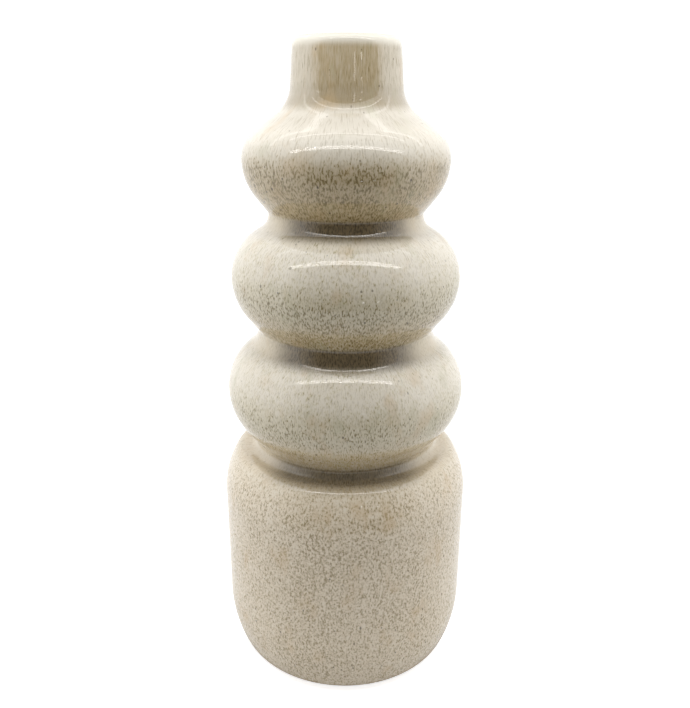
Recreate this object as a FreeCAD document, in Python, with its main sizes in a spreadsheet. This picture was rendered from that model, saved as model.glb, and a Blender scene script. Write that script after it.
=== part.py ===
import FreeCAD, Part
import math
import os

import Sketcher

# A glazed stoneware bottle vase: a drum-shaped base, three round rings and a short neck.
# It is one fired shell with a glaze coat outside, a glaze coat inside and felt pads under its foot.
# Lengths are in millimetres. +Z is up, and the origin is on the axis at the pads' undersides.
# Inside the file heights are measured from the foot, the bare clay that the pads are stuck to.

SIZES = {
    # The drum at the bottom
    "base_radius": 61.4,           # widest part of the drum
    "base_height": 110.0,          # foot to the drum's flat top
    "corner_width": 12.3,          # how far the drum's corners run in from the wall
    "corner_round": 8.0,           # the tight end of both corners
    "heel_height": 28.4,           # foot to where the lower corner becomes the wall
    "shoulder_height": 23.4,       # wall to the drum's flat top
    "shelf_width": 0.5,            # flat stretch between the shoulder and the lower waist
    # Waists are the narrow places, rings the wide ones
    "lower_waist_round": 4.0,
    "lower_ring_bulge": 13.1,      # how far the lower ring stands out from the lower waist
    "lower_ring_under": 27.4,      # lower waist to the lower ring's widest line
    "lower_ring_over": 29.3,       # that line to the middle waist
    "middle_waist_step": 2.3,      # how much narrower the middle waist is than the lower one
    "middle_waist_ledge": 9.4,     # hollow round from the ring below up to the waist
    "middle_waist_round": 3.0,     # tighter round from the waist into the ring above
    "middle_ring_bulge": 11.5,
    "middle_ring_under": 25.2,
    "middle_ring_over": 29.0,
    "top_waist_step": 6.4,
    "top_waist_ledge": 7.2,
    "top_waist_round": 3.0,
    "top_ring_bulge": 11.2,
    "top_ring_under": 24.1,
    "top_ring_over": 31.6,         # up to where the neck begins
    "flank_lean": 0.78,            # 1 would leave no straight stretch between two rounds
    "ledge_lean": 0.9,             # the same, for the slopes that fall from a ledge
    # Neck and lip
    "neck_radius": 24.9,
    "neck_round": 14.0,            # hollow round at the neck's root
    "neck_height": 19.4,
    "lip_round": 2.15,
    # The shell and its coats
    "wall": 4.5,
    "floor": 6.0,                  # foot to the clay inside
    "glaze": 0.5,
    "glaze_line": 2.5,             # the outer glaze stops this far above the foot
    "foot_width": 9.0,
    "foot_recess": 1.5,
    # Felt pads
    "pad_diameter": 8.0,
    "pad_thickness": 1.2,
    "pad_count": 4,
}

FIRST_PAD_AT = 45.0   # degrees from +X

doc = FreeCAD.newDocument("bottle_vase")
sheet = doc.addObject("Spreadsheet::Sheet", "sizes")
for row, (alias, number) in enumerate(SIZES.items(), start=1):
    sheet.set("A%d" % row, alias)
    sheet.set("B%d" % row, str(number))
    sheet.setAlias("B%d" % row, alias)
doc.recompute()


class Size:
    """A number, and the sheet expression that it comes from."""

    def __init__(self, value, text):
        self.value = value
        self.text = text

    def __add__(self, other):
        return Size(self.value + other.value, "(%s + %s)" % (self.text, other.text))

    def __sub__(self, other):
        return Size(self.value - other.value, "(%s - %s)" % (self.text, other.text))


def size(alias):
    return Size(SIZES[alias], "sizes." + alias)


# Depths under the visible surface
AT_SURFACE = Size(0.0, "0")
AT_CLAY = size("glaze")
AT_LINING = size("glaze") + size("wall")
AT_HOLLOW = AT_LINING + size("glaze")

# Radii of the visible surface
corner_in = size("base_radius") - size("corner_width")
foot_inside = corner_in - size("foot_width")
lower_waist_radius = corner_in - size("shelf_width") - size("lower_waist_round")
middle_waist_radius = lower_waist_radius - size("middle_waist_step")
top_waist_radius = middle_waist_radius - size("top_waist_step")
mouth = size("neck_radius") - AT_HOLLOW

# Heights over the foot
FOOT = Size(0.0, "0")
lower_waist_at = size("base_height") + size("lower_waist_round")
lower_ring_at = lower_waist_at + size("lower_ring_under")
middle_waist_at = lower_ring_at + size("lower_ring_over")
middle_ring_at = middle_waist_at + size("middle_ring_under")
top_waist_at = middle_ring_at + size("middle_ring_over")
top_ring_at = top_waist_at + size("top_ring_under")
neck_at = top_ring_at + size("top_ring_over")
lip_at = neck_at + size("neck_height") - size("lip_round")

CENTRE = 3   # the point number of an arc's centre


class Stretch:
    """One line or arc of an outline that runs upwards, and which of its ends is the lower one."""

    def __init__(self, index, low=1, high=2):
        self.index = index
        self.low = low
        self.high = high


class Outline:
    """A sketch on a body's XZ plane. Its lines and arcs are drawn in place, then held by rules."""

    def __init__(self, body, name):
        self.sketch = body.newObject("Sketcher::SketchObject", name)
        plane = [p for p in body.Origin.OriginFeatures if p.Role == "XZ_Plane"][0]
        self.sketch.AttachmentSupport = [(plane, "")]
        self.sketch.MapMode = "FlatFace"
        self.rules = []
        self.sizes = []

    def rule(self, kind, *where):
        self.rules.append(Sketcher.Constraint(kind, *where))

    def hold(self, kind, *where, by):
        """A rule whose value follows the sheet."""
        self.sizes.append((len(self.rules), by.text))
        self.rules.append(Sketcher.Constraint(kind, *where, by.value))

    def place(self, stretch, point, x=None, z=None):
        if x is not None:
            self.hold("DistanceX", -1, 1, stretch.index, point, by=x)
        if z is not None:
            self.hold("DistanceY", -1, 1, stretch.index, point, by=z)

    def join(self, below, above):
        """Two stretches that meet end to end and run on smoothly."""
        self.rule("Tangent", below.index, below.high, above.index, above.low)

    def touch(self, below, above):
        """Two stretches that meet end to end, and are smooth there by their own sizes."""
        self.rule("Coincident", below.index, below.high, above.index, above.low)

    def line(self, start, end):
        ends = [FreeCAD.Vector(p[0], p[1], 0) for p in (start, end)]
        return Stretch(self.sketch.addGeometry(Part.LineSegment(*ends), False))

    def arc(self, centre, radius, start, end):
        """An arc that runs anticlockwise between two angles in radians."""
        circle = Part.Circle(FreeCAD.Vector(centre[0], centre[1], 0), FreeCAD.Vector(0, 0, 1), radius)
        return self.sketch.addGeometry(Part.ArcOfCircle(circle, start, end), False)

    def swell(self, centre, radius, start, end):
        """An arc that bulges away from the axis, so it runs upwards."""
        return Stretch(self.arc(centre, radius, start, end))

    def hollow(self, centre, radius, start, end):
        """An arc that curves in towards the axis, so it runs downwards."""
        return Stretch(self.arc(centre, radius, start, end), low=2, high=1)

    def level(self, stretch, point, other, other_point):
        """A line between the ends of two stretches."""
        ends = [self.sketch.getPoint(stretch.index, point), self.sketch.getPoint(other.index, other_point)]
        line = self.line(*[(p.x, p.y) for p in ends])
        self.rule("Coincident", stretch.index, point, line.index, 1)
        self.rule("Coincident", other.index, other_point, line.index, 2)

    def finish(self):
        self.sketch.addConstraint(self.rules)
        for number, text in self.sizes:
            self.sketch.setExpression("Constraints[%d]" % number, text)


def on_circle(centre, radius, angle):
    return centre[0] + radius * math.cos(angle), centre[1] + radius * math.sin(angle)


class Hollow:
    """A hollow arc in a waist: the waist's radius and height, and the arc's own round."""

    def __init__(self, radius, height, bend):
        self.radius = radius
        self.height = height
        self.bend = bend
        self.centre_x = radius + bend
        self.centre = (self.centre_x.value, height.value)


class Waist:
    """A narrow place: the hollow of the ledge under its narrowest line, and the round over that line.

    The neck's root is one too, with only a ledge.
    """

    def __init__(self, radius, height, ledge, over=None):
        self.ledge = Hollow(radius, height, ledge)
        self.over = Hollow(radius, height, over) if over else None


class Flank:
    """The slope between a waist and a ring's widest line: the waist's hollow, a straight, the ring's round.

    share is the alias of its lean's share of the full lean, lean the straight's angle from upright, and
    swell the radius of the ring's round.
    """

    def __init__(self, hollow, radius, height, rise, share):
        reach = radius.value - hollow.radius.value
        lean = SIZES[share] * 2 * math.atan(reach / rise.value)
        run = "(%s - %s)" % (radius.text, hollow.radius.text)
        slope = "2 * sizes.%s * atan(%s / %s)" % (share, run, rise.text)
        both_rounds = (rise.value * math.sin(lean) - reach * math.cos(lean)) / (1 - math.cos(lean))
        self.hollow = hollow
        self.height = height
        self.lean = Size(lean, slope)
        self.swell = both_rounds - hollow.bend.value
        self.centre = (radius.value - self.swell, height.value)

    def straight(self, outline, depth, rising):
        """The straight, held at its angle to the flat top of the drum."""
        side = 1 if rising else -1
        bend = self.hollow.bend.value + depth.value
        at_waist = on_circle(self.hollow.centre, bend, math.pi - side * self.lean.value)
        at_ring = on_circle(self.centre, self.swell - depth.value, -side * self.lean.value)
        upright = Size(math.pi / 2, "90 deg")
        if rising:
            line = outline.line(at_waist, at_ring)
            outline.hold("Angle", line.index, by=upright - self.lean)
        else:
            line = outline.line(at_ring, at_waist)
            outline.hold("Angle", line.index, by=upright + self.lean)
        return line


class Ring:
    """A wide place between two waists. fall is the alias of its upper slope's share of the full lean."""

    def __init__(self, radius, height, below, above, under, over, fall):
        self.radius = radius
        self.height = height
        self.under = Flank(below.over, radius, height, under, "flank_lean")
        self.over = Flank(above.ledge, radius, height, over, fall)


lower_waist = Waist(lower_waist_radius, lower_waist_at, ledge=size("lower_waist_round"),
                    over=size("lower_waist_round"))
middle_waist = Waist(middle_waist_radius, middle_waist_at, ledge=size("middle_waist_ledge"),
                     over=size("middle_waist_round"))
top_waist = Waist(top_waist_radius, top_waist_at, ledge=size("top_waist_ledge"),
                  over=size("top_waist_round"))
neck_root = Waist(size("neck_radius"), neck_at, ledge=size("neck_round"))
WAISTS = [lower_waist, middle_waist, top_waist, neck_root]
RINGS = [
    Ring(lower_waist_radius + size("lower_ring_bulge"), lower_ring_at, lower_waist, middle_waist,
         under=size("lower_ring_under"), over=size("lower_ring_over"), fall="ledge_lean"),
    Ring(middle_waist_radius + size("middle_ring_bulge"), middle_ring_at, middle_waist, top_waist,
         under=size("middle_ring_under"), over=size("middle_ring_over"), fall="ledge_lean"),
    Ring(top_waist_radius + size("top_ring_bulge"), top_ring_at, top_waist, neck_root,
         under=size("top_ring_under"), over=size("top_ring_over"), fall="flank_lean"),
]


def corner_arcs(outline, depth, end_at, wall_at, stop_at=None):
    """A corner of the drum: a wide arc from its wall, and a tight one that ends level.

    end_at is the height where the tight arc would end level, and wall_at where the wide one leaves the wall.
    stop_at cuts the lower corner's tight arc off early. Returns the two arcs, the lower one first.
    """
    lower = end_at.value < wall_at.value
    tight = size("corner_round") - depth
    tight_z = end_at + tight if lower else end_at - tight
    wall_x = size("base_radius") - depth
    inset = wall_x.value - corner_in.value
    rise = abs(end_at.value - wall_at.value)
    wide = (inset ** 2 + rise ** 2 - 2 * rise * tight.value) / (2 * (inset - tight.value))
    wide_centre = (wall_x.value - wide, wall_at.value)
    tight_centre = (corner_in.value, tight_z.value)
    meet = math.atan2(tight_centre[1] - wide_centre[1], tight_centre[0] - wide_centre[0])
    if lower:
        start = math.asin((stop_at.value - tight_z.value) / tight.value) if stop_at else -math.pi / 2
        tight_arc = outline.swell(tight_centre, tight.value, start, meet)
        wide_arc = outline.swell(wide_centre, wide, meet, 0)
        outline.join(tight_arc, wide_arc)
        outline.place(wide_arc, wide_arc.high, x=wall_x, z=wall_at)
    else:
        wide_arc = outline.swell(wide_centre, wide, 0, meet)
        tight_arc = outline.swell(tight_centre, tight.value, meet, math.pi / 2)
        outline.join(wide_arc, tight_arc)
        outline.place(wide_arc, wide_arc.low, x=wall_x, z=wall_at)
    if stop_at:
        outline.place(tight_arc, tight_arc.low, z=stop_at)
    outline.place(wide_arc, CENTRE, z=wall_at)
    outline.place(tight_arc, CENTRE, x=corner_in, z=tight_z)
    outline.hold("Radius", tight_arc.index, by=tight)
    return (tight_arc, wide_arc) if lower else (wide_arc, tight_arc)


def waist_arcs(outline, depth, waist, below, above):
    """The hollow arcs in a waist, between the flanks below and above it. Returns the lowest and the highest.

    Where no flank lies below, the ledge starts level with the drum's top. The neck's root has none above.
    """
    ledge = waist.ledge
    low = below.lean.value if below else math.pi / 2
    bend = ledge.bend + depth
    ledge_arc = outline.hollow(ledge.centre, bend.value, math.pi, math.pi + low)
    outline.place(ledge_arc, CENTRE, x=ledge.centre_x, z=ledge.height)
    if not above:
        outline.hold("Radius", ledge_arc.index, by=bend)
        return ledge_arc, ledge_arc
    over = waist.over
    over_bend = over.bend + depth
    over_arc = outline.hollow(over.centre, over_bend.value, math.pi - above.lean.value, math.pi)
    outline.place(ledge_arc, ledge_arc.high, x=ledge.radius - depth, z=ledge.height)
    outline.place(over_arc, CENTRE, x=over.centre_x, z=over.height)
    outline.touch(ledge_arc, over_arc)
    return ledge_arc, over_arc


def ring_arcs(outline, depth, ring):
    """A ring's two arcs, which meet upright at its widest line."""
    edge = ring.radius - depth
    under, over = ring.under, ring.over
    lower = outline.swell(under.centre, under.swell - depth.value, -under.lean.value, 0)
    upper = outline.swell(over.centre, over.swell - depth.value, 0, over.lean.value)
    outline.place(lower, CENTRE, z=ring.height)
    outline.place(lower, lower.high, x=edge, z=ring.height)
    outline.place(upper, CENTRE, z=ring.height)
    outline.touch(lower, upper)
    return lower, upper


def side(outline, depth, bottom, stop_at=None):
    """The whole side at a depth under the visible surface, from the bottom's edge to the neck's root.

    Returns its first and its last arc.
    """
    wall_x = (size("base_radius") - depth).value
    wall_top = size("base_height") - size("shoulder_height")
    top = size("base_height") - depth
    heel_tight, heel_wide = corner_arcs(outline, depth, bottom, size("heel_height"), stop_at)
    shoulder_wide, shoulder_tight = corner_arcs(outline, depth, top, wall_top)
    wall = outline.line((wall_x, size("heel_height").value), (wall_x, wall_top.value))
    outline.touch(heel_wide, wall)
    outline.touch(wall, shoulder_wide)

    flanks_below = [None] + [ring.over for ring in RINGS]
    flanks_above = [ring.under for ring in RINGS] + [None]
    hollows = [waist_arcs(outline, depth, *item) for item in zip(WAISTS, flanks_below, flanks_above)]
    shelf = outline.line((corner_in.value, top.value), (lower_waist.ledge.centre_x.value, top.value))
    outline.join(shoulder_tight, shelf)
    outline.join(shelf, hollows[0][0])

    for ring, below, above in zip(RINGS, hollows, hollows[1:]):
        lower, upper = ring_arcs(outline, depth, ring)
        rising = ring.under.straight(outline, depth, rising=True)
        falling = ring.over.straight(outline, depth, rising=False)
        outline.join(below[1], rising)
        outline.join(rising, lower)
        outline.join(upper, falling)
        outline.join(falling, above[0])
    return heel_tight, hollows[-1][1]


def lip_arc(outline, depth, root):
    """The neck's outer line and the rounded lip that it runs into. Returns the lip's arc."""
    centre_x = mouth + size("lip_round")
    centre = (centre_x.value, lip_at.value)
    radius = size("lip_round") - depth
    root_centre = neck_root.ledge.centre
    root_radius = neck_root.ledge.bend + depth
    # The line has the root's circle on its outer side and the lip's on its inner side.
    run, fall = root_centre[0] - centre[0], root_centre[1] - centre[1]
    turn = math.atan2(fall, run) + math.acos((root_radius.value + radius.value) / math.hypot(run, fall))
    line = outline.line(on_circle(root_centre, root_radius.value, turn + math.pi),
                        on_circle(centre, radius.value, turn))
    arc = outline.swell(centre, radius.value, turn, math.pi)
    outline.place(arc, CENTRE, x=centre_x, z=lip_at)
    outline.hold("Radius", arc.index, by=radius)
    outline.join(root, line)
    outline.join(line, arc)
    return arc


def bore(outline, depth, root):
    """The straight inside of the neck, up to the height of the lip's centre."""
    x = size("neck_radius").value - depth.value
    line = outline.line((x, neck_at.value), (x, lip_at.value))
    outline.join(root, line)
    return line


def flat_to_axis(outline, arc, height):
    """A flat line from the lower end of a heel's tight arc to the axis."""
    line = outline.line((0.0, height.value), (corner_in.value, height.value))
    outline.rule("Tangent", line.index, 2, arc.index, arc.low)
    outline.rule("Horizontal", line.index)
    outline.rule("PointOnObject", line.index, 1, -2)
    return line


def underside(outline, heel):
    """The foot ring's flat and the shallow recess inside it. Returns the recess's flat line."""
    recess = size("foot_recess")
    recess_x = foot_inside - recess
    flat = outline.line((foot_inside.value, 0.0), (corner_in.value, 0.0))
    slope = outline.line((recess_x.value, recess.value), (foot_inside.value, 0.0))
    roof = outline.line((0.0, recess.value), (recess_x.value, recess.value))
    outline.rule("Tangent", flat.index, 2, heel.index, heel.low)
    outline.rule("Horizontal", flat.index)
    outline.place(flat, 1, x=foot_inside)
    outline.rule("Coincident", slope.index, 2, flat.index, 1)
    outline.place(slope, 1, x=recess_x, z=recess)
    outline.rule("Coincident", roof.index, 2, slope.index, 1)
    outline.rule("Horizontal", roof.index)
    outline.rule("PointOnObject", roof.index, 1, -2)
    return roof


def turned_body(name, draw):
    """A body turned round the axis from one closed outline, lifted onto the pads."""
    body = doc.addObject("PartDesign::Body", name)
    outline = Outline(body, name + "_section")
    draw(outline)
    outline.finish()
    turned = body.newObject("PartDesign::Revolution", name + "_turned")
    turned.Profile = outline.sketch
    turned.ReferenceAxis = (outline.sketch, ["V_Axis"])
    turned.Angle = 360.0
    outline.sketch.Visibility = False
    body.setExpression("Placement.Base.z", "sizes.pad_thickness")
    return body


def draw_shell(outline):
    """The fired clay: outside, lip, inside, floor and foot."""
    heel, root = side(outline, AT_CLAY, bottom=FOOT)
    inner_heel, inner_root = side(outline, AT_LINING, bottom=size("floor"))
    lip = lip_arc(outline, AT_CLAY, root)
    inside = bore(outline, AT_LINING, inner_root)
    outline.rule("Tangent", inside.index, inside.high, lip.index, lip.high)
    floor = flat_to_axis(outline, inner_heel, size("floor"))
    roof = underside(outline, heel)
    outline.level(roof, 1, floor, 1)


def draw_outer_glaze(outline):
    """The coat on the outside, over the lip and down to the glaze line."""
    stop = size("glaze_line")
    heel, root = side(outline, AT_SURFACE, bottom=FOOT - AT_CLAY, stop_at=stop)
    clay_heel, clay_root = side(outline, AT_CLAY, bottom=FOOT, stop_at=stop)
    lip, clay_lip = lip_arc(outline, AT_SURFACE, root), lip_arc(outline, AT_CLAY, clay_root)
    for arc in (lip, clay_lip):
        outline.rule("Horizontal", arc.index, arc.high, arc.index, CENTRE)
    outline.level(lip, lip.high, clay_lip, clay_lip.high)
    outline.level(clay_heel, clay_heel.low, heel, heel.low)


def draw_inner_glaze(outline):
    """The coat on the inside, from the floor up to the lip's inner edge."""
    floor = size("floor")
    heel, root = side(outline, AT_LINING, bottom=floor)
    coat_heel, coat_root = side(outline, AT_HOLLOW, bottom=floor + size("glaze"))
    inside, coat = bore(outline, AT_LINING, root), bore(outline, AT_HOLLOW, coat_root)
    for line in (inside, coat):
        outline.rule("Vertical", line.index)
        outline.place(line, line.high, z=lip_at)
    outline.level(inside, inside.high, coat, coat.high)
    under = flat_to_axis(outline, heel, floor)
    over = flat_to_axis(outline, coat_heel, floor + size("glaze"))
    outline.level(under, 1, over, 1)


def foot_pad(number, angle):
    """A round felt pad stuck to the middle of the foot ring."""
    body = doc.addObject("PartDesign::Body", "foot_pad_%d" % number)
    sketch = body.newObject("Sketcher::SketchObject", "pad_%d_outline" % number)
    plane = [p for p in body.Origin.OriginFeatures if p.Role == "XY_Plane"][0]
    sketch.AttachmentSupport = [(plane, "")]
    sketch.MapMode = "FlatFace"
    radius = SIZES["pad_diameter"] / 2
    circle = Part.Circle(FreeCAD.Vector(0, 0, 0), FreeCAD.Vector(0, 0, 1), radius)
    ring = sketch.addGeometry(circle, False)
    sketch.addConstraint(Sketcher.Constraint("Coincident", ring, CENTRE, -1, 1))
    held = sketch.addConstraint(Sketcher.Constraint("Radius", ring, radius))
    sketch.setExpression("Constraints[%d]" % held, "sizes.pad_diameter / 2")
    pad = body.newObject("PartDesign::Pad", "pad_%d_felt" % number)
    pad.Profile = sketch
    pad.setExpression("Length", "sizes.pad_thickness")
    sketch.Visibility = False
    seat = "(%s - sizes.foot_width / 2)" % corner_in.text
    body.setExpression("Placement.Base.x", "%s * cos(%s deg)" % (seat, angle))
    body.setExpression("Placement.Base.y", "%s * sin(%s deg)" % (seat, angle))
    return body


parts = {
    "stoneware_body": turned_body("stoneware_body", draw_shell),
    "outer_glaze": turned_body("outer_glaze", draw_outer_glaze),
    "inner_glaze": turned_body("inner_glaze", draw_inner_glaze),
}
for pad_index in range(SIZES["pad_count"]):
    pad_body = foot_pad(pad_index + 1, FIRST_PAD_AT + pad_index * 360.0 / SIZES["pad_count"])
    parts[pad_body.Name] = pad_body

doc.recompute()

for item in doc.Objects:
    if "Invalid" in item.State or "Error" in item.State:
        raise RuntimeError("%s failed: %s" % (item.Name, item.State))
    if item.isDerivedFrom("Sketcher::SketchObject") and not item.FullyConstrained:
        raise RuntimeError("%s can still move" % item.Name)
for name, body in parts.items():
    body.Label = name
    if body.Shape.isNull() or not body.Shape.isValid() or len(body.Shape.Solids) != 1:
        raise RuntimeError("%s has no sound solid" % name)

os.makedirs("parts", exist_ok=True)
for name, body in parts.items():
    body.Shape.exportStep("parts/%s.step" % name)
    box = body.Shape.optimalBoundingBox(False)
    print("%-16s %9.1f mm3  z %.2f to %.2f" % (name, body.Shape.Volume, box.ZMin, box.ZMax))
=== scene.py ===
import math
from collections import namedtuple

import bpy
from mathutils import Matrix, Vector, noise


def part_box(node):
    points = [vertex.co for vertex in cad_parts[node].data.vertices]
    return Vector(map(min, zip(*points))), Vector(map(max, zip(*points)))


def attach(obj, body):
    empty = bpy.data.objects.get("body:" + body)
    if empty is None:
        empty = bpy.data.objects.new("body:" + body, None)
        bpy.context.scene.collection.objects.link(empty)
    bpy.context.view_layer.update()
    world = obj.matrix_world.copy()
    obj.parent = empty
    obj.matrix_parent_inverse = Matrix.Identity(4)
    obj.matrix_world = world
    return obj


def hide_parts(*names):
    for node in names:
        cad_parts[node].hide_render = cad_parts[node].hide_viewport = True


# The looks of a glazed stoneware bottle vase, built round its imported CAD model.
# Lengths are in millimetres until a mesh or a lamp is made, and +Z is up.

MM = 0.001

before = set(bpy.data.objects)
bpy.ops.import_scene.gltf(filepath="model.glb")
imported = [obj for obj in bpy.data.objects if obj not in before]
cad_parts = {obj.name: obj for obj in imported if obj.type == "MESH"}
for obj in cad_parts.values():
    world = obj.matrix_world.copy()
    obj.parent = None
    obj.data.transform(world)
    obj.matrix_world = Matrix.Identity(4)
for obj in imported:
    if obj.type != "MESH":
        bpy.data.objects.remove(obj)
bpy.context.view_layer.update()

# Sizes of the outline

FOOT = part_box("stoneware_body")[0].z / MM      # the foot stands on the pads' thickness
GLAZE = 0.5
WALL = 4.5
FLOOR = 6.0
BASE_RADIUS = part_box("outer_glaze")[1].x / MM
BASE_HEIGHT = 110.0
CORNER_INSET = 12.3          # from the drum's side to the middle of its tight rounds
CORNER_IN = BASE_RADIUS - CORNER_INSET
CORNER_ROUND = 8.0
HEEL_HEIGHT = 28.4
SHOULDER_HEIGHT = 23.4
FLANK_LEAN = 0.78            # how far a ring's slopes lean, as a share of the most they can
LEDGE_LEAN = 0.9
NECK_HEIGHT = 19.4
LIP_ROUND = 2.15
GLAZE_LINE = 2.5
FOOT_WIDTH = 9.0
FOOT_RECESS = 1.5

WAIST_RADII = (44.6, 42.3, 35.9, 24.9)         # lower, middle and top waist, and the neck's root
WAIST_LEDGES = (4.0, 9.4, 7.2, 14.0)           # the hollow rounds under their narrowest lines
WAIST_OVERS = (4.0, 3.0, 3.0, 0.0)             # the rounds over those lines
RING_RADII = (57.7, 53.8, 47.1)
RING_FALLS = (LEDGE_LEAN, LEDGE_LEAN, FLANK_LEAN)
RISES_UNDER = (27.4, 25.2, 24.1)               # from each waist to the ring above it
RISES_OVER = (29.3, 29.0, 31.6)                # from each ring to the waist above it

Waist = namedtuple("Waist", "radius height ledge over")
Ring = namedtuple("Ring", "radius height below above fall")


def stack_waists():
    """The waists from the lowest up, the neck's root last."""
    height = BASE_HEIGHT + WAIST_LEDGES[0]
    heights = [height]
    for under, over in zip(RISES_UNDER, RISES_OVER):
        height += under + over
        heights.append(height)
    return [Waist(*item) for item in zip(WAIST_RADII, heights, WAIST_LEDGES, WAIST_OVERS)]


WAISTS = stack_waists()
RINGS = [
    Ring(radius, below.height + under, below, above, fall)
    for radius, under, below, above, fall in zip(RING_RADII, RISES_UNDER, WAISTS, WAISTS[1:], RING_FALLS)
]
NECK = WAISTS[-1]
TOTAL_HEIGHT = NECK.height + NECK_HEIGHT
LIP_HEIGHT = TOTAL_HEIGHT - LIP_ROUND
MOUTH_RADIUS = NECK.radius - WALL - 2 * GLAZE
WALL_TOP = BASE_HEIGHT - SHOULDER_HEIGHT


# Points along the outline, as (radius, height over the foot)

POINT_STEP = 0.9


def arc(centre, radius, start, end):
    """Points along an arc, without its last one."""
    count = max(3, math.ceil(abs(end - start) * radius / POINT_STEP))
    angles = [start + (end - start) * i / count for i in range(count)]
    return [(centre[0] + radius * math.cos(a), centre[1] + radius * math.sin(a)) for a in angles]


def straight(start, end):
    """Points along a line, without its last one."""
    count = max(1, math.ceil(math.dist(start, end) / POINT_STEP))
    return [tuple(a + (b - a) * i / count for a, b in zip(start, end)) for i in range(count)]


def flank(waist, hollow, ring, share):
    """The lean of the straight between a waist and a ring, and the radius of the ring's round."""
    reach, rise = ring.radius - waist.radius, abs(ring.height - waist.height)
    lean = share * 2 * math.atan(reach / rise)
    both_rounds = (rise * math.sin(lean) - reach * math.cos(lean)) / (1 - math.cos(lean))
    return lean, both_rounds - hollow


def corner(depth, end, wall, stop=None):
    """A corner of the drum, listed upwards: the tight round by its flat end, the wide one by the wall."""
    low = end < wall
    tight = CORNER_ROUND - depth
    tight_centre = (CORNER_IN, end + tight if low else end - tight)
    inset, rise = BASE_RADIUS - depth - CORNER_IN, abs(end - wall)
    wide = (inset ** 2 + rise ** 2 - 2 * rise * tight) / (2 * (inset - tight))
    wide_centre = (BASE_RADIUS - depth - wide, wall)
    meet = math.atan2(tight_centre[1] - wide_centre[1], tight_centre[0] - wide_centre[0])
    if low:
        start = math.asin((stop - tight_centre[1]) / tight) if stop else -math.pi / 2
        return arc(tight_centre, tight, start, meet) + arc(wide_centre, wide, meet, 0)
    return arc(wide_centre, wide, 0, meet) + arc(tight_centre, tight, meet, math.pi / 2)


def ledge_points(waist, depth, low):
    """The hollow under a waist's narrowest line, from its lean at the ring below."""
    return arc((waist.radius + waist.ledge, waist.height), waist.ledge + depth, math.pi + low, math.pi)


def over_points(waist, depth, high):
    """The round over a waist's narrowest line, up to its lean at the ring above."""
    return arc((waist.radius + waist.over, waist.height), waist.over + depth, math.pi, math.pi - high)


def side(depth, bottom, stop=None):
    """The vase's side at a depth under the visible surface, from the foot to the neck's root."""
    points = corner(depth, bottom, HEEL_HEIGHT, stop)
    points += straight((BASE_RADIUS - depth, HEEL_HEIGHT), (BASE_RADIUS - depth, WALL_TOP))
    points += corner(depth, BASE_HEIGHT - depth, WALL_TOP)
    lean_below = math.pi / 2
    for ring in RINGS:
        rise_lean, under_round = flank(ring.below, ring.below.over, ring, FLANK_LEAN)
        fall_lean, over_round = flank(ring.above, ring.above.ledge, ring, ring.fall)
        low = (ring.radius - under_round, ring.height)
        high = (ring.radius - over_round, ring.height)
        points += ledge_points(ring.below, depth, lean_below) + over_points(ring.below, depth, rise_lean)
        bulge = arc(low, under_round - depth, -rise_lean, 0) + arc(high, over_round - depth, 0, fall_lean)
        points += straight(points[-1], bulge[0])[1:] + bulge
        points += straight(points[-1], ledge_points(ring.above, depth, fall_lean)[0])[1:]
        lean_below = fall_lean
    return points + ledge_points(NECK, depth, lean_below)


def lip_points(depth):
    """The neck's outside and the lip over its top, down to the lip's inner edge."""
    centre = (MOUTH_RADIUS + LIP_ROUND, LIP_HEIGHT)
    radius = LIP_ROUND - depth
    root = (NECK.radius + NECK.ledge, NECK.height)
    root_radius = NECK.ledge + depth
    run, fall = root[0] - centre[0], root[1] - centre[1]
    turn = math.atan2(fall, run) + math.acos((root_radius + radius) / math.hypot(run, fall))
    low = (root[0] - root_radius * math.cos(turn), root[1] - root_radius * math.sin(turn))
    high = (centre[0] + radius * math.cos(turn), centre[1] + radius * math.sin(turn))
    end = (centre[0] - radius, centre[1])
    return straight(low, high) + arc(centre, radius, turn, math.pi) + [end]


def bore_points(depth):
    """The neck's inside, from its root up to the lip's inner edge."""
    radius = NECK.radius - depth
    return straight((radius, NECK.height), (radius, LIP_HEIGHT)) + [(radius, LIP_HEIGHT)]


def up_to_lip(depth, bottom, stop=None):
    """The outside from the foot to the lip's inner edge. The neck starts low in its root's hollow round."""
    lip = lip_points(depth)
    below_neck = [point for point in side(depth, bottom, stop) if point[1] < lip[0][1]]
    return below_neck + lip


# Meshes turned round an axis

SEGMENTS = 256
SWELL = 0.22                 # how far a thrown wall strays from round
SWELL_HEIGHT = 45
SWELL_SCALE = 0.9
SWELL_START = Vector((3.1, 7.7, 1.3))
FINGER_LINE = 0.05           # how deep the potter's fingers left their lines
FINGER_LINE_HEIGHT = 3.2
TRUE_RADII = (5, 20)         # the wall runs true inside the first, and strays in full outside the second


def smooth_step(value, low, high):
    """0 at low and 1 at high, which may be the smaller of the two."""
    t = min(1.0, max(0.0, (value - low) / (high - low)))
    return t * t * (3 - 2 * t)


def thrown_reach(radius, height, angle):
    """How far out the vase's wall stands at a point: a thrown wall is never quite round."""
    x, y = math.cos(angle), math.sin(angle)
    swell = noise.noise(Vector((x, y, height / SWELL_HEIGHT)) * SWELL_SCALE + SWELL_START)
    line = noise.noise(Vector((x / 2, y / 2, height / FINGER_LINE_HEIGHT)))
    return radius + (SWELL * swell + FINGER_LINE * line) * smooth_step(radius, *TRUE_RADII)


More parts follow.
